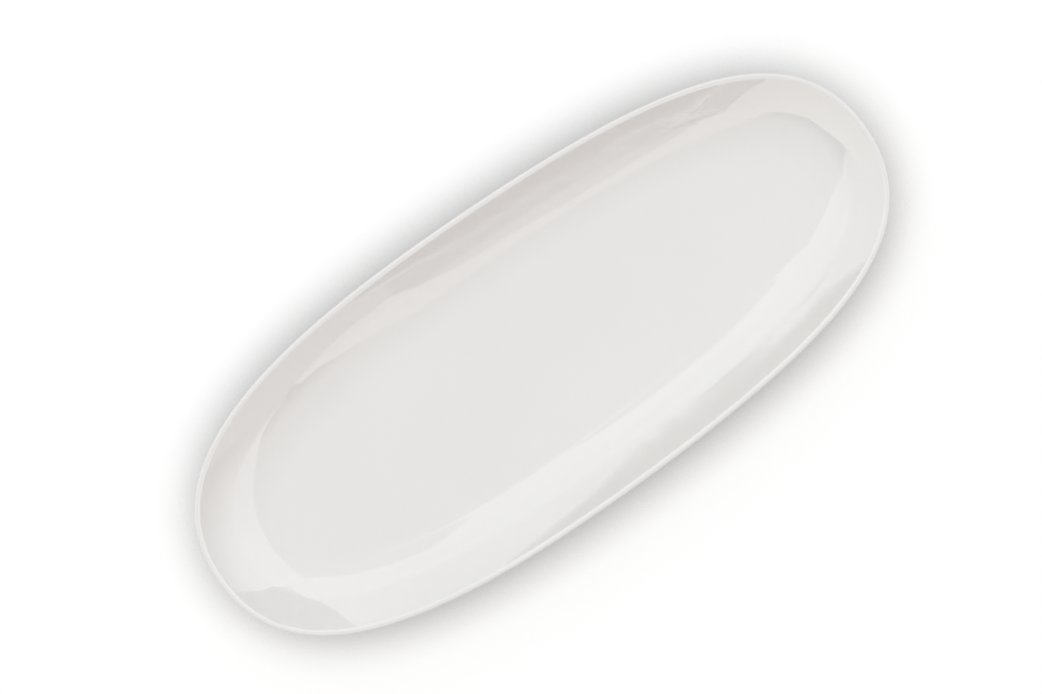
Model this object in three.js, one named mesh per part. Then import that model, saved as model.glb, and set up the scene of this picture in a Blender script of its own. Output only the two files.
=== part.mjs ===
// Oval serving plate: a fired porcelain body with a flat well, a flared wall, a rounded rim and a foot ring,
// and the two coats of glaze that cover it apart from the bare foot.
// Millimetres, +Z up, +X along the plate. The foot stands on z = 0 with its centre at the origin.
import * as THREE from 'three';

// Outline of the finished rim, seen from above
const PLATE_LENGTH = 360;
const PLATE_WIDTH = 147.5;
const END_FULLNESS = 0.794; // how squarely each end is filled out, from 0 to 1
const SIDE_FULLNESS = 0.626; // how far the long sides stay straight, from 0 to 1

// Section through the wall
const WALL_RUN = 33.25; // width of bend and wall together, seen from above
const BEND_RADIUS = 31; // hollow bend that leads from the floor up into the wall
const BEND_SLOPE = THREE.MathUtils.degToRad(43.25); // slope of the wall where the bend ends
const RIM_SLOPE = THREE.MathUtils.degToRad(46.35); // slope of the wall at the rim
const RIM_THICKNESS = 2.2;
const LIP_INNER_RADIUS = 1.8; // broad rounding from the wall to the top of the rim
const FLOOR_THICKNESS = 3.6;

// Foot ring
const FOOT_INSET = 36; // from the rim line to the outer side of the foot
const FOOT_HEIGHT = 3.2; // from the table up to the base panel
const FOOT_FACE_WIDTH = 2.4; // flat contact face, between its two rounded edges
const FOOT_EDGE_RADIUS = 0.6;
const FOOT_ROOT_RADIUS = 0.9;

// Glaze
const GLAZE_THICKNESS = 0.35;
const BARE_FOOT_HEIGHT = 1.1; // the glaze is wiped off the foot up to this height

// Steps along each curve
const QUARTER_STEPS = 16;
const BEND_STEPS = 6;
const WALL_STEPS = 2;
const LIP_INNER_STEPS = 3;
const LIP_OUTER_STEPS = 6;
const FILLET_STEPS = 3;
const TIE_MARGIN = 1e-6; // how much of its fall decides between two diagonals of the same length

// Above the bend the wall is a shallow arc that takes up the rest of the run.
const BEND_RUN = BEND_RADIUS * Math.sin(BEND_SLOPE);
const BEND_RISE = BEND_RADIUS * (1 - Math.cos(BEND_SLOPE));
const WALL_RADIUS = (WALL_RUN - BEND_RUN) / (Math.sin(RIM_SLOPE) - Math.sin(BEND_SLOPE));
const WALL_RISE = WALL_RADIUS * (Math.cos(BEND_SLOPE) - Math.cos(RIM_SLOPE));
const WELL_DEPTH = BEND_RISE + WALL_RISE;
const DOWN = -Math.PI / 2;
const UP = Math.PI / 2;

// The outer rounding of the rim takes up what the inner one leaves of the rim's thickness.
const LIP_LEFT_OVER = RIM_THICKNESS - LIP_INNER_RADIUS * (1 - Math.cos(RIM_SLOPE));
const LIP_OUTER_RADIUS = LIP_LEFT_OVER / (1 + Math.cos(RIM_SLOPE));

// Outside, the wall keeps the rim's thickness. The wider bend below it thickens down to that of the floor.
const OUTSIDE_RADIUS = WALL_RADIUS + RIM_THICKNESS;
const OUTSIDE_BEND_DROP = BEND_RISE + FLOOR_THICKNESS - RIM_THICKNESS * Math.cos(BEND_SLOPE);
const OUTSIDE_BEND_RADIUS = OUTSIDE_BEND_DROP / (1 - Math.cos(BEND_SLOPE));

// The rim outline as one closed path of four equal curves
function rimPath() {
  const halfLength = PLATE_LENGTH / 2;
  const halfWidth = PLATE_WIDTH / 2;
  const endHandle = END_FULLNESS * halfWidth;
  const sideHandle = SIDE_FULLNESS * halfLength;
  const path = new THREE.Path();
  path.moveTo(halfLength, 0);
  path.bezierCurveTo(halfLength, endHandle, sideHandle, halfWidth, 0, halfWidth);
  path.bezierCurveTo(-sideHandle, halfWidth, -halfLength, endHandle, -halfLength, 0);
  path.bezierCurveTo(-halfLength, -endHandle, -sideHandle, -halfWidth, 0, -halfWidth);
  path.bezierCurveTo(sideHandle, -halfWidth, halfLength, -endHandle, halfLength, 0);
  return path;
}

// Direction square to a curve, pointing away from the plate
function outwardNormal(curve, t) {
  const s = 1 - t;
  const tangent = curve.v1.clone().sub(curve.v0).multiplyScalar(s * s);
  tangent.addScaledVector(curve.v2.clone().sub(curve.v1), 2 * s * t);
  tangent.addScaledVector(curve.v3.clone().sub(curve.v2), t * t);
  return new THREE.Vector2(tangent.y, -tangent.x).normalize();
}

// Stations round the rim, each with its point on the outline and its outward direction
function rimStations() {
  const stations = [];
  for (const curve of rimPath().curves) {
    for (let step = 0; step < QUARTER_STEPS; step += 1) {
      const t = step / QUARTER_STEPS;
      stations.push({ point: curve.getPoint(t), outward: outwardNormal(curve, t) });
    }
  }
  return stations;
}

// A section point: how far it lies outside the rim line, its height, and the way its surface faces
function sectionPoint(out, height, facing) {
  return { place: new THREE.Vector2(out, height), facing };
}

// Points along an arc of the section. A hollow arc faces its own centre, a round one faces away from it.
function sectionArc(centre, radius, fromAngle, toAngle, steps, hollow) {
  const points = [];
  for (let step = 0; step <= steps; step += 1) {
    const angle = THREE.MathUtils.lerp(fromAngle, toAngle, step / steps);
    const spoke = new THREE.Vector2(Math.cos(angle), Math.sin(angle));
    const place = centre.clone().addScaledVector(spoke, radius);
    const facing = hollow ? spoke.clone().negate() : spoke;
    points.push({ place, facing });
  }
  return points;
}

// Direction square to a wall of this slope, pointing up into the plate
function inwardAt(slope) {
  return new THREE.Vector2(-Math.sin(slope), Math.cos(slope));
}

// Two runs of a section made one, without the point that they share
function joined(first, second) {
  return [...first, ...second.slice(1)];
}

// Section of the body, in runs from the edge of the well to the edge of the base panel
function bodySection() {
  const inwardAtRim = inwardAt(RIM_SLOPE);
  const inwardAtBend = inwardAt(BEND_SLOPE);

  // The rim's outer rounding touches the rim line, less the glaze that covers it.
  const lipTop = -GLAZE_THICKNESS - LIP_OUTER_RADIUS;
  const wallTop = new THREE.Vector2(
    lipTop + inwardAtRim.x * LIP_INNER_RADIUS,
    FOOT_HEIGHT + FLOOR_THICKNESS + WELL_DEPTH,
  );
  const lipInnerCentre = wallTop.clone().addScaledVector(inwardAtRim, -LIP_INNER_RADIUS);
  const lipOuterCentre = lipInnerCentre.clone();
  lipOuterCentre.y += LIP_INNER_RADIUS - LIP_OUTER_RADIUS;

  // Inside and outside of the wall turn about one centre. Each bend joins its own side without a kink.
  const wallCentre = wallTop.clone().addScaledVector(inwardAtRim, WALL_RADIUS);
  const bendCentre = wallCentre.clone().addScaledVector(inwardAtBend, BEND_RADIUS - WALL_RADIUS);
  const outsideBendCentre = wallCentre.clone();
  outsideBendCentre.addScaledVector(inwardAtBend, OUTSIDE_BEND_RADIUS - OUTSIDE_RADIUS);

  const outerSide = -FOOT_INSET;
  const outerEdge = outerSide - FOOT_EDGE_RADIUS;
  const innerEdge = outerEdge - FOOT_FACE_WIDTH;
  const innerSide = innerEdge - FOOT_EDGE_RADIUS;
  const outerEdgeCentre = new THREE.Vector2(outerEdge, FOOT_EDGE_RADIUS);
  const innerEdgeCentre = new THREE.Vector2(innerEdge, FOOT_EDGE_RADIUS);
  const innerRootCentre = new THREE.Vector2(innerSide - FOOT_ROOT_RADIUS, FOOT_HEIGHT - FOOT_ROOT_RADIUS);

  // The outer root is a fillet that touches both the outside bend and the side of the foot.
  const rootReach = OUTSIDE_BEND_RADIUS + FOOT_ROOT_RADIUS;
  const rootAcross = outerSide + FOOT_ROOT_RADIUS - outsideBendCentre.x;
  const rootDrop = Math.sqrt(rootReach * rootReach - rootAcross * rootAcross);
  const outerRootCentre = outsideBendCentre.clone().add(new THREE.Vector2(rootAcross, -rootDrop));
  const rootAngle = outsideBendCentre.clone().sub(outerRootCentre).angle();

  const bendEnd = DOWN + BEND_SLOPE;
  const wallEnd = DOWN + RIM_SLOPE;
  const bend = sectionArc(bendCentre, BEND_RADIUS, DOWN, bendEnd, BEND_STEPS, true);
  const wall = sectionArc(wallCentre, WALL_RADIUS, bendEnd, wallEnd, WALL_STEPS, true);
  const lipInner = sectionArc(
    lipInnerCentre, LIP_INNER_RADIUS, UP + RIM_SLOPE, UP, LIP_INNER_STEPS, false,
  );
  const lipOuter = sectionArc(lipOuterCentre, LIP_OUTER_RADIUS, UP, wallEnd, LIP_OUTER_STEPS, false);
  const outside = sectionArc(wallCentre, OUTSIDE_RADIUS, wallEnd, bendEnd, WALL_STEPS, false);
  const outsideBend = sectionArc(
    outsideBendCentre, OUTSIDE_BEND_RADIUS, bendEnd, rootAngle - Math.PI, BEND_STEPS, false,
  );
  const outerRoot = sectionArc(outerRootCentre, FOOT_ROOT_RADIUS, rootAngle, Math.PI, FILLET_STEPS, true);
  const outerLine = sectionPoint(outerSide, BARE_FOOT_HEIGHT, new THREE.Vector2(1, 0));
  const outerRound = sectionArc(outerEdgeCentre, FOOT_EDGE_RADIUS, 0, DOWN, FILLET_STEPS, false);
  const innerRound = sectionArc(innerEdgeCentre, FOOT_EDGE_RADIUS, DOWN, -Math.PI, FILLET_STEPS, false);
  const innerLine = sectionPoint(innerSide, BARE_FOOT_HEIGHT, new THREE.Vector2(-1, 0));
  const innerRoot = sectionArc(innerRootCentre, FOOT_ROOT_RADIUS, 0, UP, FILLET_STEPS, true);

  return {
    underMainCoat: [bend, wall, lipInner, lipOuter, outside, outsideBend, outerRoot].reduce(joined),
    outerLine,
    bareFoot: [...outerRound, ...innerRound],
    innerLine,
    underBaseCoat: innerRoot,
  };
}

// The same points lifted off the body by the thickness of the glaze
function lifted(points) {
  const lift = (point) => ({
    place: point.place.clone().addScaledVector(point.facing, GLAZE_THICKNESS),
    facing: point.facing,
  });
  return points.map(lift);
}

// The rolled edge where a coat of glaze ends on the side of the foot, from its outer face down to the foot
function glazeBead(line) {
  const centre = new THREE.Vector2(line.place.x, line.place.y + GLAZE_THICKNESS);
  const faceAngle = line.facing.angle();
  const underAngle = faceAngle + Math.sign(line.facing.x) * DOWN;
  return sectionArc(centre, GLAZE_THICKNESS, faceAngle, underAngle, FILLET_STEPS, false).slice(0, -1);
}

// A closed solid swept round the rim. The section starts and ends on flat faces that reach across the plate.
function sweepRound(section) {
  const stations = rimStations();
  const count = stations.length;
  const positions = [];
  for (const { place } of section) {
    for (const { point, outward } of stations) {
      const spot = point.clone().addScaledVector(outward, place.x);
      positions.push(spot.x, spot.y, place.y);
    }
  }

  const triangles = [];
  const vertex = (index) => new THREE.Vector3().fromArray(positions, index * 3);
  for (let ring = 0; ring + 1 < section.length; ring += 1) {
    for (let station = 0; station < count; station += 1) {
      const next = (station + 1) % count;
      const a = ring * count + station;
      const b = a + count;
      const c = (ring + 1) * count + next;
      const d = ring * count + next;
      // The shorter diagonal, so that two solids that share a surface split it alike. On the upright side of
      // the foot both are as long, and the one that falls towards the next station is taken.
      const difference = vertex(a).distanceTo(vertex(c)) - vertex(b).distanceTo(vertex(d));
      const fall = vertex(a).z - vertex(b).z;
      if (difference < TIE_MARGIN * fall) {
        triangles.push(a, b, c, a, c, d);
      } else {
        triangles.push(a, b, d, b, c, d);
      }
    }
  }

  // Both flat faces are filled across with the same pattern, the last one turned over.
  const lastRing = (section.length - 1) * count;
  const firstLoop = stations.map(({ point, outward }) =>
    point.clone().addScaledVector(outward, section[0].place.x),
  );
  for (const [a, b, c] of THREE.ShapeUtils.triangulateShape(firstLoop, [])) {
    triangles.push(a, b, c);
    triangles.push(lastRing + a, lastRing + c, lastRing + b);
  }

  const geometry = new THREE.BufferGeometry();
  geometry.setAttribute('position', new THREE.Float32BufferAttribute(positions, 3));
  geometry.setIndex(triangles);
  geometry.computeVertexNormals();
  return geometry;
}

const section = bodySection();

// The body runs over the top, round the rim, down the outside and across the bare foot to the base panel.
const bodyGeometry = sweepRound([
  ...section.underMainCoat,
  section.outerLine,
  ...section.bareFoot,
  section.innerLine,
  ...section.underBaseCoat,
]);

// The main coat goes out along its own face and comes back along the body.
const mainCoatGeometry = sweepRound([
  ...lifted(section.underMainCoat),
  ...glazeBead(section.outerLine),
  section.outerLine,
  ...section.underMainCoat.toReversed(),
]);

// The base coat comes down from the panel along the body and goes back up along its own face.
const baseCoatGeometry = sweepRound([
  ...section.underBaseCoat.toReversed(),
  section.innerLine,
  ...glazeBead(section.innerLine).toReversed(),
  ...lifted(section.underBaseCoat),
]);

const biscuit = new THREE.MeshStandardMaterial({ color: 0xe6e0d5, roughness: 0.8, metalness: 0 });
const whiteGlaze = new THREE.MeshStandardMaterial({ color: 0xefeeeb, roughness: 0.06, metalness: 0 });

function namedMesh(name, geometry, material) {
  const mesh = new THREE.Mesh(geometry, material);
  mesh.name = name;
  return mesh;
}

const plate = new THREE.Group();
plate.add(namedMesh('porcelain_body', bodyGeometry, biscuit));
plate.add(namedMesh('glaze_main_coat', mainCoatGeometry, whiteGlaze));
plate.add(namedMesh('glaze_base_coat', baseCoatGeometry, whiteGlaze));

export default plate;
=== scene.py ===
"""Looks of the oval serving plate.

Fine meshes stand for the porcelain body and its two coats of glaze. A plain studio and a camera show them.
"""

import math

import bpy
import numpy as np
from mathutils import Matrix, Vector


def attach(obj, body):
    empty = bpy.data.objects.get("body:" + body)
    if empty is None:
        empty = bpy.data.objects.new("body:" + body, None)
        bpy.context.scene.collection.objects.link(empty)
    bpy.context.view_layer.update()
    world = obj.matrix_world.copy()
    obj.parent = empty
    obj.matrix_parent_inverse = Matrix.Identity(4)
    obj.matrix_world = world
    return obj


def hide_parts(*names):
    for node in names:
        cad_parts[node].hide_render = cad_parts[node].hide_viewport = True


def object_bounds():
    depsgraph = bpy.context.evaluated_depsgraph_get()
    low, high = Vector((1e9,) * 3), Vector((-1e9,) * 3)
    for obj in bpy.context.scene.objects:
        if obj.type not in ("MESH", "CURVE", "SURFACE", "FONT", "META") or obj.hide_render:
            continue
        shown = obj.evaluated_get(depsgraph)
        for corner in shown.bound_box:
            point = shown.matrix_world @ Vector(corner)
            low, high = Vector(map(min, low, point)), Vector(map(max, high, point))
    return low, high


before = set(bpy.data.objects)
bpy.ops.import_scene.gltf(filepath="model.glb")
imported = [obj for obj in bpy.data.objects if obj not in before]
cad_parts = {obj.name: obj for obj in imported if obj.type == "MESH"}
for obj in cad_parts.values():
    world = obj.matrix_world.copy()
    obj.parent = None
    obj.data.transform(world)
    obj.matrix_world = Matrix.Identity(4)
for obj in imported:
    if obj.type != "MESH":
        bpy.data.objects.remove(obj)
cad_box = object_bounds()

# Outline and section of the plate, in millimetres, as in the solids
HALF_LENGTH = 180.0
HALF_WIDTH = 73.75
END_FULLNESS = 0.794
SIDE_FULLNESS = 0.626
WALL_RUN = 33.25
BEND_RADIUS = 31.0
BEND_SLOPE = math.radians(43.25)
RIM_SLOPE = math.radians(46.35)
RIM_THICKNESS = 2.2
LIP_INNER_RADIUS = 1.8
FLOOR_THICKNESS = 3.6
FOOT_INSET = 36.0
FOOT_HEIGHT = 3.2
FOOT_FACE_WIDTH = 2.4
FOOT_EDGE_RADIUS = 0.6
FOOT_ROOT_RADIUS = 0.9
GLAZE_THICKNESS = 0.35
BARE_FOOT_HEIGHT = 1.1

# What follows from these sizes. A place is counted inwards from the outermost point of the rim.
LIP_RISE = LIP_INNER_RADIUS * (1 - math.cos(RIM_SLOPE))
LIP_OUTER_RADIUS = (RIM_THICKNESS - LIP_RISE) / (1 + math.cos(RIM_SLOPE))
BEND_RUN = BEND_RADIUS * math.sin(BEND_SLOPE)
BEND_RISE = BEND_RADIUS * (1 - math.cos(BEND_SLOPE))
WALL_RADIUS = (WALL_RUN - BEND_RUN) / (math.sin(RIM_SLOPE) - math.sin(BEND_SLOPE))
WELL_DEPTH = BEND_RISE + WALL_RADIUS * (math.cos(BEND_SLOPE) - math.cos(RIM_SLOPE))
OUTSIDE_RADIUS = WALL_RADIUS + RIM_THICKNESS
OUTSIDE_RISE = BEND_RISE + FLOOR_THICKNESS - RIM_THICKNESS * math.cos(BEND_SLOPE)
OUTSIDE_BEND_RADIUS = OUTSIDE_RISE / (1 - math.cos(BEND_SLOPE))
WALL_HEIGHT = FOOT_HEIGHT + FLOOR_THICKNESS + WELL_DEPTH
LIP_PLACE = GLAZE_THICKNESS + LIP_OUTER_RADIUS
BEND_PLACE = LIP_PLACE + LIP_INNER_RADIUS * math.sin(RIM_SLOPE) + WALL_RUN - BEND_RUN
DOWN = -math.pi / 2
UP = math.pi / 2
STATIONS_PER_QUARTER = 80

# How this one plate departs from its design, fitted to the outline and the mirrored bands in the photograph.
# Towards one end it is a little narrower. Its walls are off their slope by up to a fifth of a degree: they
# lean in near the middle, lean out towards the right and curl near the right end. Places and reaches are in
# millimetres along the plate, and the lean eases in from the bend.
END_NARROWING = 0.0105
LEAN_IN = math.radians(0.062)
LEAN_IN_PLACE = 8.0
LEAN_IN_REACH = 34.0
LEAN_OUT = math.radians(0.071)
LEAN_OUT_PLACE = 100.0
LEAN_OUT_REACH = 27.0
LEAN_START = BEND_PLACE + 5.4
LEAN_EASE = 1.5

# Going up the wall, the curl first dips, is back at the slope after CURL_TURN and then rises over CURL_RISE.
NEAR_CURL = math.radians(0.21)
FAR_CURL = math.radians(0.09)
CURL_PLACE = 120.0
CURL_REACH = 34.0
CURL_TURN = 10.5
CURL_RISE = 6.0


def rim_stations():
    """Points round the rim line and their outward directions."""
    a, b = HALF_LENGTH, HALF_WIDTH
    p = np.array([(a, 0), (a, END_FULLNESS * b), (SIDE_FULLNESS * a, b), (0, b)])
    t = np.linspace(0, 1, STATIONS_PER_QUARTER, endpoint=False)[:, None]
    s = 1 - t
    place = s**3 * p[0] + 3 * s * s * t * p[1] + 3 * s * t * t * p[2] + t**3 * p[3]
    along = s * s * (p[1] - p[0]) + 2 * s * t * (p[2] - p[1]) + t * t * (p[3] - p[2])
    out = np.stack([along[:, 1], -along[:, 0]], axis=1)
    out /= np.linalg.norm(out, axis=1)[:, None]

    # The other quarters mirror the first one, each starting where the last one ends.
    end = np.array([(0.0, b)])
    end_out = np.array([(0.0, 1.0)])
    half = np.concatenate([place, end, place[:0:-1] * (-1, 1)])
    half_out = np.concatenate([out, end_out, out[:0:-1] * (-1, 1)])
    points = np.concatenate([half, -half])
    outward = np.concatenate([half_out, -half_out])

    # Towards the right end the plate narrows, and its outward directions turn with the outline.
    x, y = points.T
    width = 1 - END_NARROWING * np.sin(math.pi * x / a)
    taper = -END_NARROWING * math.pi / a * np.cos(math.pi * x / a)
    outward = np.stack([outward[:, 0] * width - outward[:, 1] * y * taper, outward[:, 1]], axis=1)
    outward /= np.linalg.norm(outward, axis=1)[:, None]
    return np.stack([x, y * width], axis=1), outward


def inward_at(slope):
    """The way that the inside of the wall faces at a slope: across, and up."""
    return np.array([-math.sin(slope), math.cos(slope)])


def arc(centre, radius, start, stop, steps, hollow=False):
    """Section points along an arc: place across the wall, height, and the way the surface faces there."""
    angle = np.linspace(start, stop, steps + 1)
    spoke = np.stack([np.cos(angle), np.sin(angle)], axis=1)
    return np.hstack([centre + radius * spoke, -spoke if hollow else spoke])


def joined(*runs):
    """Runs of section points that each start where the last one ends, with that point kept once."""
    return np.concatenate([runs[0]] + [run[1:] for run in runs[1:]])


def body_section():
    """The body's section from the edge of the well, over the rim and the foot, to the edge of the base."""
    lip_inner = np.array([-LIP_PLACE, WALL_HEIGHT - LIP_INNER_RADIUS * math.cos(RIM_SLOPE)])
    lip_outer = lip_inner + (0, LIP_INNER_RADIUS - LIP_OUTER_RADIUS)
    wall = lip_inner + inward_at(RIM_SLOPE) * (LIP_INNER_RADIUS + WALL_RADIUS)
    bend = wall + inward_at(BEND_SLOPE) * (BEND_RADIUS - WALL_RADIUS)
    outer_bend = wall + inward_at(BEND_SLOPE) * (OUTSIDE_BEND_RADIUS - OUTSIDE_RADIUS)

    outer_side = -FOOT_INSET
    inner_side = outer_side - FOOT_FACE_WIDTH - 2 * FOOT_EDGE_RADIUS
    across = outer_side + FOOT_ROOT_RADIUS - outer_bend[0]
    drop = math.sqrt((OUTSIDE_BEND_RADIUS + FOOT_ROOT_RADIUS) ** 2 - across**2)
    root = outer_bend + np.array([across, -drop])
    root_angle = math.atan2(drop, -across)
    inner_root = np.array([inner_side - FOOT_ROOT_RADIUS, FOOT_HEIGHT - FOOT_ROOT_RADIUS])
    outer_edge = np.array([outer_side - FOOT_EDGE_RADIUS, FOOT_EDGE_RADIUS])
    inner_edge = np.array([inner_side + FOOT_EDGE_RADIUS, FOOT_EDGE_RADIUS])

    bend_end = DOWN + BEND_SLOPE
    wall_end = DOWN + RIM_SLOPE
    under_main = joined(
        arc(bend, BEND_RADIUS, DOWN, bend_end, steps=24, hollow=True),
        arc(wall, WALL_RADIUS, bend_end, wall_end, steps=16, hollow=True),
        arc(lip_inner, LIP_INNER_RADIUS, UP + RIM_SLOPE, UP, steps=9),
        arc(lip_outer, LIP_OUTER_RADIUS, UP, wall_end, steps=15),
        arc(wall, OUTSIDE_RADIUS, wall_end, bend_end, steps=5),
        arc(outer_bend, OUTSIDE_BEND_RADIUS, bend_end, root_angle - math.pi, steps=14),
        arc(root, FOOT_ROOT_RADIUS, root_angle, math.pi, steps=6, hollow=True),
    )
    outer_line = np.array([(outer_side, BARE_FOOT_HEIGHT, 1.0, 0.0)])
    inner_line = np.array([(inner_side, BARE_FOOT_HEIGHT, -1.0, 0.0)])
    bare_foot = np.concatenate([
        arc(outer_edge, FOOT_EDGE_RADIUS, 0, DOWN, steps=5),
        arc(inner_edge, FOOT_EDGE_RADIUS, DOWN, -math.pi, steps=5),
    ])
    under_base = arc(inner_root, FOOT_ROOT_RADIUS, 0, UP, steps=6, hollow=True)
    return under_main, outer_line, bare_foot, inner_line, under_base


def turned(points):
    """The same section points run through backwards, facing the other way."""
    return points[::-1] * (1, 1, -1, -1)


def lifted(points):
    """The same section points on the outer face of the glaze."""
    raised = points.copy()
    raised[:, :2] += GLAZE_THICKNESS * points[:, 2:]
    return raised


def glaze_bead(line):
    """The rolled edge of a coat of glaze where it ends on the side of the foot."""
    face = 0.0 if line[0, 2] > 0 else math.pi
    under = face + math.copysign(1, line[0, 2]) * DOWN
    centre = line[0, :2] + (0, GLAZE_THICKNESS)
    return arc(centre, GLAZE_THICKNESS, face, under, steps=4)[:-1]


def bump_along(x, place, reach):
    """A smooth swell along the plate, 1 at its place and dying away over its reach."""
    return np.exp(-(((x - place) / reach) ** 2))


def wall_lean(points, across):
    """How far the wall turns from its slope, across and along the plate, and the height that it gains."""
    x, y = points.T
    lean = LEAN_IN * bump_along(x, LEAN_IN_PLACE, LEAN_IN_REACH)
    lean -= LEAN_OUT * bump_along(x, LEAN_OUT_PLACE, LEAN_OUT_REACH)
    curl = np.where(y < 0, NEAR_CURL, FAR_CURL) * bump_along(x, CURL_PLACE, CURL_REACH)
    curl /= CURL_RISE * CURL_TURN
    u = np.maximum(0, across + LEAN_START)[:, None]
    turn = lean * (1 - (LEAN_EASE / (u + LEAN_EASE)) ** 2) + curl * u * (u - CURL_TURN)
    height = lean * u**2 / (u + LEAN_EASE) + curl * (u**3 / 3 - CURL_TURN * u**2 / 2)
    return turn, height


def swept(name, section):
    """A closed mesh of the section carried round the rim, with both flat ends filled across."""
    points, outward = rim_stations()
    count = len(points)
    lean_turn, lean_height = wall_lean(points, section[:, 0])

    verts = np.empty((len(section), count, 3))
    verts[:, :, :2] = points + outward * section[:, 0, None, None]
    verts[:, :, 2] = section[:, 1, None] + lean_height
    facing = np.empty_like(verts)
    out, rise = section[:, 2, None], section[:, 3, None]
    facing[:, :, :2] = outward * (out - rise * lean_turn)[:, :, None]
    facing[:, :, 2] = rise + out * lean_turn

    faces = []
    for ring in range(len(section) - 1):
        low, high = ring * count, (ring + 1) * count
        for i in range(count):
            j = (i + 1) % count
            faces.append((low + i, high + i, high + j, low + j))
    faces.append(tuple(range(count)))
    faces.append(tuple(range(len(section) * count - 1, (len(section) - 1) * count - 1, -1)))

    mesh = bpy.data.meshes.new(name)
    mesh.from_pydata((verts.reshape(-1, 3) * 0.001).tolist(), [], faces)
    mesh.validate()
    mesh.shade_smooth()
    mesh.normals_split_custom_set_from_vertices(facing.reshape(-1, 3).tolist())
    piece = bpy.data.objects.new(name, mesh)
    bpy.context.scene.collection.objects.link(piece)
    return piece


def fit_to_solids(pieces):
    """The finer rim would stand a little proud of the faceted solids, so all pieces draw in together."""
    corners = np.concatenate([[v.co for v in piece.data.vertices] for piece in pieces])
    ratio = np.minimum(1.0, np.array(cad_box[1]) / corners.max(axis=0))
    for piece in pieces:
        piece.data.transform(Matrix.Diagonal((*ratio, 1.0)))


def node(tree, kind, **values):
    """A new shader node with the given settings."""
    made = tree.nodes.new(kind)
    for key, value in values.items():
        setattr(made, key, value)
    return made


def feed(tree, socket, value):
    """Give a socket a plain value, or link it to another node's output."""
    if isinstance(value, bpy.types.NodeSocket):
        tree.links.new(value, socket)
    else:
        socket.default_value = value


def calculated(tree, operation, *values):
    step = node(tree, "ShaderNodeMath", operation=operation)
    for socket, value in zip(step.inputs, values):
        feed(tree, socket, value)
    return step.outputs[0]


def mapped(tree, value, source=(0.0, 1.0), target=(0.0, 1.0)):
    """A value stretched from one span to another, held at the ends."""
    made = node(tree, "ShaderNodeMapRange")
    names = ("Value", "From Min", "From Max", "To Min", "To Max")
    for name, given in zip(names, (value, *source, *target)):
        feed(tree, made.inputs[name], given)
    return made.outputs["Result"]


def noise(tree, place, scale, detail):
    made = node(tree, "ShaderNodeTexNoise")
    for name, value in (("Vector", place), ("Scale", scale), ("Detail", detail)):
        feed(tree, made.inputs[name], value)
    return made.outputs["Fac"]


def bumped(tree, height, distance, strength):
    made = node(tree, "ShaderNodeBump")
    for name, value in (("Height", height), ("Distance", distance), ("Strength", strength)):
        feed(tree, made.inputs[name], value)
    return made.outputs["Normal"]


def two_tone(tree, value, low, high):
    """A blend of two colours, each given with the value where it is pure."""
    ramp = node(tree, "ShaderNodeValToRGB")
    for step, (position, colour) in zip(ramp.color_ramp.elements, (low, high)):
        step.position = position
        step.color = (*colour, 1)
    feed(tree, ramp.inputs["Fac"], value)
    return ramp.outputs["Color"]


def mixed_colour(tree, share, first, second):
    made = node(tree, "ShaderNodeMix", data_type="RGBA")
    for index, value in ((0, share), (6, first), (7, second)):
        feed(tree, made.inputs[index], value)
    return made.outputs[2]


def mixed_shader(tree, share, first, second):
    made = node(tree, "ShaderNodeMixShader")
    for socket, value in zip(made.inputs, (share, first, second)):
        feed(tree, socket, value)
    return made.outputs[0]


def new_material(name):
    material = bpy.data.materials.new(name)
    material.use_nodes = True
    tree = material.node_tree
    return material, tree, tree.nodes["Principled BSDF"]


def bare_material(name):
    """A material with only an output, for what isn't part of the plate."""
    material = bpy.data.materials.new(name)
    material.use_nodes = True
    tree = material.node_tree
    tree.nodes.clear()
    return material, tree, node(tree, "ShaderNodeOutputMaterial").inputs["Surface"]


def specks(tree, place):
    """Rare faint specks a fraction of a millimetre across, in the middle of some cells of a loose pattern."""
    cells = node(tree, "ShaderNodeTexVoronoi")
    feed(tree, cells.inputs["Vector"], place)
    cells.inputs["Scale"].default_value = 55.0
    draw = node(tree, "ShaderNodeSeparateColor")
    feed(tree, draw.inputs["Color"], cells.outputs["Color"])
    near = calculated(tree, "LESS_THAN", cells.outputs["Distance"], 0.018)
    rare = calculated(tree, "GREATER_THAN", draw.outputs["Red"], 0.72)
    speck = calculated(tree, "MULTIPLY", near, rare)
    return calculated(tree, "MULTIPLY", speck, 0.35)


def glaze_material():
    """Glossy transparent glaze over white porcelain, with drifts of tone, rare specks and slow waves."""
    material, tree, shader = new_material("white_glaze")
    place = node(tree, "ShaderNodeTexCoord").outputs["Object"]

    # The tone drifts as the glaze lies thinner and thicker.
    drift = noise(tree, place, scale=14.0, detail=3.0)
    tone = two_tone(tree, drift, (0.3, (0.799, 0.777, 0.753)), (0.7, (0.819, 0.797, 0.773)))
    colour = mixed_colour(tree, specks(tree, place), tone, (0.36, 0.31, 0.25, 1))
    feed(tree, shader.inputs["Base Color"], colour)

    # The gloss varies a little, and the fired surface has slow waves of a few thousandths of a millimetre.
    haze = noise(tree, place, scale=60.0, detail=4.0)
    feed(tree, shader.inputs["Roughness"], mapped(tree, haze, target=(0.005, 0.015)))
    waves = bumped(tree, noise(tree, place, scale=24.0, detail=1.0), distance=0.000004, strength=1.0)
    feed(tree, shader.inputs["Normal"], waves)
    feed(tree, shader.inputs["Coat Normal"], waves)
    shader.inputs["IOR"].default_value = 1.5
    shader.inputs["Coat Weight"].default_value = 1.0
    shader.inputs["Coat Roughness"].default_value = 0.005
    shader.inputs["Coat IOR"].default_value = 1.55
    return material


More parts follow.
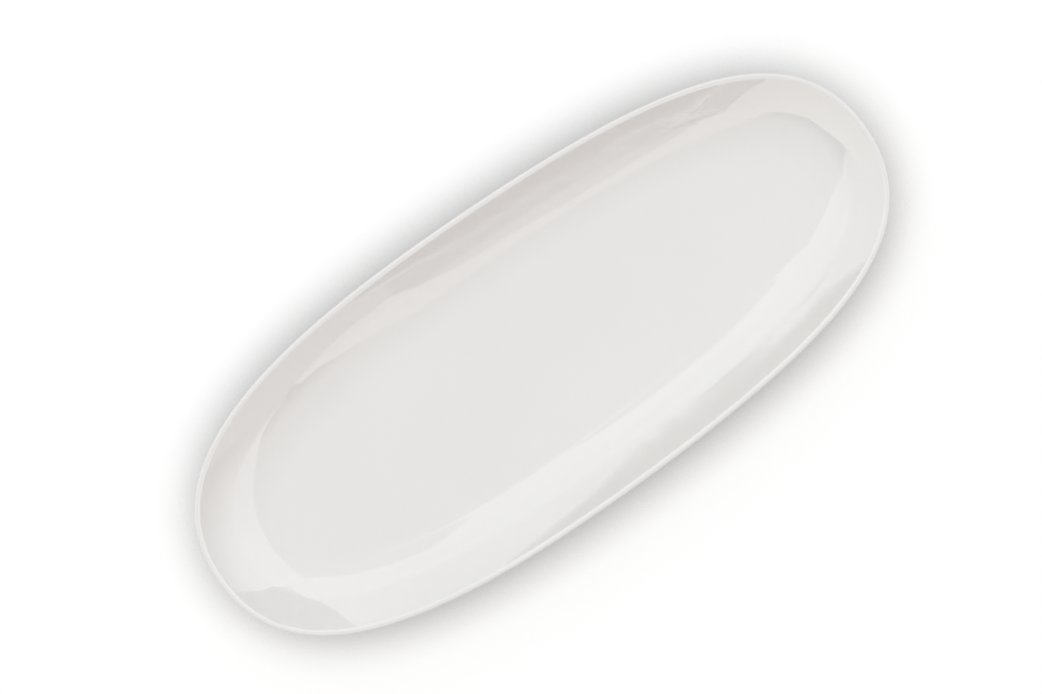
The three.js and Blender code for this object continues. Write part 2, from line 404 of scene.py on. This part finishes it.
def biscuit_material():
    """Bare fired clay on the foot: matte, fine grained and a little warmer than the glaze."""
    material, tree, shader = new_material("biscuit")
    place = node(tree, "ShaderNodeTexCoord").outputs["Object"]
    grain = noise(tree, place, scale=1800.0, detail=6.0)
    patch = noise(tree, place, scale=70.0, detail=4.0)
    blend = calculated(tree, "MULTIPLY_ADD", grain, 0.5, calculated(tree, "MULTIPLY", patch, 0.5))
    tone = two_tone(tree, blend, (0.32, (0.62, 0.55, 0.46)), (0.62, (0.80, 0.75, 0.67)))
    feed(tree, shader.inputs["Base Color"], tone)
    feed(tree, shader.inputs["Roughness"], mapped(tree, grain, target=(0.7, 0.95)))
    feed(tree, shader.inputs["Normal"], bumped(tree, grain, distance=0.0001, strength=0.6))
    return material


def add_plate():
    under_main, outer_line, bare_foot, inner_line, under_base = body_section()
    body = swept("plate_body", np.concatenate([under_main, outer_line, bare_foot, inner_line, under_base]))
    main_coat = swept("plate_glaze", np.concatenate([
        lifted(under_main), glaze_bead(outer_line), outer_line, turned(under_main),
    ]))
    base_coat = swept("base_glaze", np.concatenate([
        turned(under_base), inner_line, glaze_bead(inner_line)[::-1], lifted(under_base),
    ]))
    fit_to_solids([body, main_coat, base_coat])
    glaze = glaze_material()
    body.data.materials.append(biscuit_material())
    main_coat.data.materials.append(glaze)
    base_coat.data.materials.append(glaze)
    for piece, solid, slot in (
        (body, "porcelain_body", "biscuit"),
        (main_coat, "glaze_main_coat", "white_glaze"),
        (base_coat, "glaze_base_coat", "white_glaze"),
    ):
        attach(piece, "root")
        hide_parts(solid)


# Studio, in metres. Bearings are those of the picture, in degrees from its right side towards its top.
PICTURE_UP = math.radians(54.893)
PICTURE_RIGHT = PICTURE_UP - math.pi / 2
DOME_TINT = (0.985, 1.005, 1.015)
DOME_LEVEL = 0.785
MIRRORED_LEVELS = (1.15, 2.04)
MIRRORED_HEIGHTS = (0.12, 0.55)
ROOM_TINT = (0.85, 0.72, 0.68)
ROOM_SPAN = (0.35, 1.0)
LAMP_SIZE = 1.6
LAMP_POWER = 5.7
LAMP_DISTANCE = 1.98
PANEL_GAIN = 3.0
PANEL_DISTANCE = 30.0
PANEL_BORDER = 0.4
SHADE_DISTANCE = 20.0
SHADE_BORDER = 0.3
TABLE_HEIGHT = -0.0001
TABLE_REACH = 0.3
FLOOR_REACH = 12.0
FLOOR_COLOUR = (0.407, 0.4, 0.397, 1)
SHADOW_REACH = 0.034
SHADOW_SPAN = (0.315, 0.91)
WHITE_LIFT = 0.68
TABLE_BOUNCE = 0.2
CAMERA_EYE = Vector((0.0490, -0.0009, 1.5266))
CAMERA_AIM = Vector((-0.005245, 0.008196, 0.0266))
CAMERA_LENS = 114.16


def overhead(bearing, tilt):
    """A direction above the plate: its bearing in the picture, and its angle from straight up, in degrees."""
    angle = math.radians(bearing) + PICTURE_RIGHT
    lean = math.radians(tilt)
    return Vector((math.sin(lean) * math.cos(angle), math.sin(lean) * math.sin(angle), math.cos(lean)))


def panel(name, distance, middle, outline, border, material):
    """A panel round the plate that only gloss shows. It fades out over a border of so many degrees."""
    centre = overhead(*middle)
    inner = [overhead(*corner) for corner in outline]
    outer = []
    for corner in inner:
        away = (corner - centre * corner.dot(centre)).normalized()
        outer.append(corner * math.cos(math.radians(border)) + away * math.sin(math.radians(border)))
    count = len(outline)
    faces = []
    for i in range(count):
        j = (i + 1) % count
        faces.append((0, 1 + i, 1 + j))
        faces.append((1 + i, 1 + count + i, 1 + count + j, 1 + j))
    mesh = bpy.data.meshes.new(name)
    mesh.from_pydata([spot * distance for spot in [centre] + inner + outer], [], faces)
    fade = mesh.attributes.new("fade", "FLOAT", "POINT")
    fade.data.foreach_set("value", [1.0] * (1 + count) + [0.0] * count)
    obj = bpy.data.objects.new(name, mesh)
    obj.data.materials.append(material)
    obj.visible_camera = False
    obj.visible_diffuse = False
    obj.visible_shadow = False
    bpy.context.scene.collection.objects.link(obj)


def panel_material(name, colour, levels):
    """A panel's light, from pairs of a height in metres and the strength there."""
    material, tree, surface = bare_material(name)
    material.cycles.emission_sampling = "NONE"
    split = node(tree, "ShaderNodeSeparateXYZ")
    feed(tree, split.inputs["Vector"], node(tree, "ShaderNodeTexCoord").outputs["Object"])
    low, high = levels[0][0], levels[-1][0]
    ramp = node(tree, "ShaderNodeValToRGB")
    steps = ramp.color_ramp.elements
    while len(steps) < len(levels):
        steps.new(0.5)
    for step, (height, strength) in zip(steps, levels):
        step.position = (height - low) / (high - low)
        step.color = (*[channel * strength / PANEL_GAIN for channel in colour], 1)
    feed(tree, ramp.inputs["Fac"], mapped(tree, split.outputs["Z"], source=(low, high)))
    glow = node(tree, "ShaderNodeEmission")
    glow.inputs["Strength"].default_value = PANEL_GAIN
    feed(tree, glow.inputs["Color"], ramp.outputs["Color"])
    fade = node(tree, "ShaderNodeAttribute", attribute_name="fade").outputs["Fac"]
    clear = node(tree, "ShaderNodeBsdfTransparent").outputs[0]
    feed(tree, surface, mixed_shader(tree, fade, clear, glow.outputs[0]))
    return material


def add_panels():
    """What the gloss shows round the plate: two bright panels, a dimmer one and two shades before them.

    Their corners are bearings and angles from straight up, where the wall mirrors an edge in the photograph.
    """
    key = panel_material("key_panel", (0.97, 0.99, 1.0), [
        (0.2, 1.6), (0.8, 1.75), (2.5, 1.95), (5.0, 2.05),
        (10.0, 2.45), (15.0, 2.45), (24.0, 2.7), (30.0, 2.75),
    ])
    panel("panel_key", PANEL_DISTANCE, (140, 60), [
        (107, 95), (107, 88), (101, 83.5), (91, 80), (71, 64), (71, 60), (81, 43), (92, 35), (122, 39),
        (123, 42), (126, 35), (130, 26), (133, 19), (132, 15), (128, 13), (135, 17), (141, 24), (155, 26),
        (179, 35), (190, 47), (201, 65), (209, 81.5), (211, 83), (199, 84.5), (192, 86), (191, 88), (191, 95),
    ], PANEL_BORDER, key)
    fill = panel_material("fill_panel", (0.985, 1.0, 1.01), [
        (2.4, 1.2), (3.4, 1.6), (4.8, 2.3), (8.3, 2.6), (25.0, 2.65),
    ])
    panel("panel_fill", PANEL_DISTANCE, (15, 55), [
        (312, 84), (319, 75), (326, 54), (339, 38), (356, 31), (15, 27), (48, 27), (71, 33), (84, 40),
        (80, 44), (70, 60), (70, 64), (57, 79), (42, 84), (42, 95), (336, 95), (335, 86.5), (318, 84.5),
    ], PANEL_BORDER, fill)
    far = panel_material("far_panel", (1.0, 1.0, 0.99), [
        (-1.5, 1.9), (1.5, 1.95), (4.0, 2.3), (20.0, 2.35),
    ])
    panel("panel_far", PANEL_DISTANCE, (260, 86), [
        (191, 95), (191, 87), (194, 85), (200, 84), (215, 83), (239, 81.5), (272, 73), (291, 65), (298, 52),
        (301.5, 41), (303, 52), (305, 64), (308, 80), (310.5, 84), (311, 95),
    ], PANEL_BORDER, far)
    dark = panel_material("dark_panel", (1.0, 1.03, 1.05), [
        (-1.5, 1.15), (1.5, 1.2), (4.2, 1.6), (10.0, 1.85), (16.0, 1.9),
    ])
    panel("panel_dark", SHADE_DISTANCE, (298, 84), [
        (271, 95), (272, 88.5), (277, 87.5), (284, 85), (291, 81), (297, 62), (300.5, 55), (301.5, 54),
        (302, 60), (302.5, 72), (303, 84.5), (303.5, 85.5), (303.5, 95),
    ], SHADE_BORDER, dark)
    dusk = panel_material("dusk_panel", (1.0, 1.04, 1.07), [(-1.5, 1.3), (2.0, 1.5)])
    panel("panel_dusk", SHADE_DISTANCE, (312, 89), [
        (303.5, 95), (303.5, 85.5), (306, 85.5), (312, 84), (318, 84.5), (335, 86.5), (340, 95),
    ], SHADE_BORDER, dusk)


def add_lamp():
    """A large soft lamp towards the top of the picture, which the gloss does not show."""
    lamp = bpy.data.lights.new("lamp", "AREA")
    lamp.size = LAMP_SIZE
    lamp.energy = LAMP_POWER
    lamp.color = DOME_TINT
    source = bpy.data.objects.new("lamp", lamp)
    source.location = overhead(112, 42) * LAMP_DISTANCE
    source.rotation_euler = (-source.location).to_track_quat("-Z", "Y").to_euler()
    source.visible_glossy = False
    source.visible_camera = False
    bpy.context.scene.collection.objects.link(source)


def add_dome():
    """A white dome all round, which lights the plate evenly."""
    world = bpy.data.worlds.new("studio")
    bpy.context.scene.world = world
    world.use_nodes = True
    tree = world.node_tree
    way = node(tree, "ShaderNodeTexCoord").outputs["Generated"]
    mirror = node(tree, "ShaderNodeLightPath").outputs["Is Glossy Ray"]
    sky = tree.nodes["Background"]

    # Towards the bottom right of the picture the room is a little darker and warmer, for matte light alone.
    side = node(tree, "ShaderNodeVectorMath", operation="DOT_PRODUCT")
    feed(tree, side.inputs[0], way)
    feed(tree, side.inputs[1], overhead(303, 85))
    matte = calculated(tree, "SUBTRACT", 1.0, mirror)
    towards = mapped(tree, side.outputs["Value"], ROOM_SPAN, (0.0, matte))
    feed(tree, sky.inputs["Color"], mixed_colour(tree, towards, (*DOME_TINT, 1), (*ROOM_TINT, 1)))

    # The gloss sees a brighter dome, which dims down to the horizon.
    split = node(tree, "ShaderNodeSeparateXYZ")
    feed(tree, split.inputs["Vector"], way)
    mirrored = mapped(tree, split.outputs["Z"], MIRRORED_HEIGHTS, MIRRORED_LEVELS)
    feed(tree, sky.inputs["Strength"], mapped(tree, mirror, target=(DOME_LEVEL, mirrored)))


def floor_material():
    """A matte white that stays white to the camera and keeps the plate's soft shadow, deepened by a painted
    shadow.
    """
    material, tree, surface = bare_material("floor_white")
    path = node(tree, "ShaderNodeLightPath").outputs
    matte = node(tree, "ShaderNodeBsdfDiffuse")
    matte.inputs["Color"].default_value = FLOOR_COLOUR

    # Beside the plate the lift fades out with ambient occlusion: a painted shadow that deepens the plate's
    # real soft shadow on the white.
    open_sky = node(tree, "ShaderNodeAmbientOcclusion", samples=8)
    open_sky.inputs["Distance"].default_value = SHADOW_REACH
    lift = mapped(tree, open_sky.outputs["AO"], SHADOW_SPAN, (0.0, WHITE_LIFT))
    seen = calculated(tree, "MAXIMUM", path["Is Camera Ray"], path["Is Glossy Ray"])
    shown = calculated(tree, "MAXIMUM", seen, path["Is Transmission Ray"])

    # The pale table also throws some light up at the underside of the plate.
    bounce = calculated(tree, "MULTIPLY", path["Is Diffuse Ray"], TABLE_BOUNCE)
    glow = node(tree, "ShaderNodeEmission")
    feed(tree, glow.inputs["Strength"], calculated(tree, "MULTIPLY_ADD", shown, lift, bounce))
    both = node(tree, "ShaderNodeAddShader")
    feed(tree, both.inputs[0], matte.outputs[0])
    feed(tree, both.inputs[1], glow.outputs[0])

    # From below the table is clear, so that the foot can be looked at.
    below = node(tree, "ShaderNodeNewGeometry").outputs["Backfacing"]
    clear = node(tree, "ShaderNodeBsdfTransparent").outputs[0]
    feed(tree, surface, mixed_shader(tree, below, both.outputs[0], clear))
    return material


def square(reach):
    return [(x * reach, y * reach, TABLE_HEIGHT) for x, y in ((-1, -1), (1, -1), (1, 1), (-1, 1))]


def flat_piece(name, corners, faces):
    mesh = bpy.data.meshes.new(name)
    mesh.from_pydata(corners, [], faces)
    piece = bpy.data.objects.new(name, mesh)
    bpy.context.scene.collection.objects.link(piece)
    return piece


def add_floor():
    """A white table and the floor that carries it on to the horizon, of which gloss sees the table alone."""
    table = flat_piece("table", square(TABLE_REACH), [(0, 1, 2, 3)])
    around = [(i, (i + 1) % 4, 4 + (i + 1) % 4, 4 + i) for i in range(4)]
    floor = flat_piece("floor", square(FLOOR_REACH) + square(TABLE_REACH), around)
    floor.visible_glossy = False
    material = floor_material()
    floor.data.materials.append(material)
    table.data.materials.append(material)


def add_camera():
    """The photograph looks almost straight down, with the plate lying across the frame."""
    back = (CAMERA_EYE - CAMERA_AIM).normalized()
    right = Vector((math.cos(PICTURE_UP), math.sin(PICTURE_UP), 0)).cross(back).normalized()
    up = back.cross(right)
    data = bpy.data.cameras.new("camera")
    data.sensor_fit = "HORIZONTAL"
    data.sensor_width = 36.0
    data.lens = CAMERA_LENS
    camera = bpy.data.objects.new("camera", data)
    camera.matrix_world = Matrix((
        (right.x, up.x, back.x, CAMERA_EYE.x),
        (right.y, up.y, back.y, CAMERA_EYE.y),
        (right.z, up.z, back.z, CAMERA_EYE.z),
        (0, 0, 0, 1),
    ))
    bpy.context.scene.collection.objects.link(camera)
    bpy.context.scene.camera = camera


add_plate()
add_floor()
add_panels()
add_lamp()
add_dome()
add_camera()
bpy.context.scene.view_settings.view_transform = "Standard"
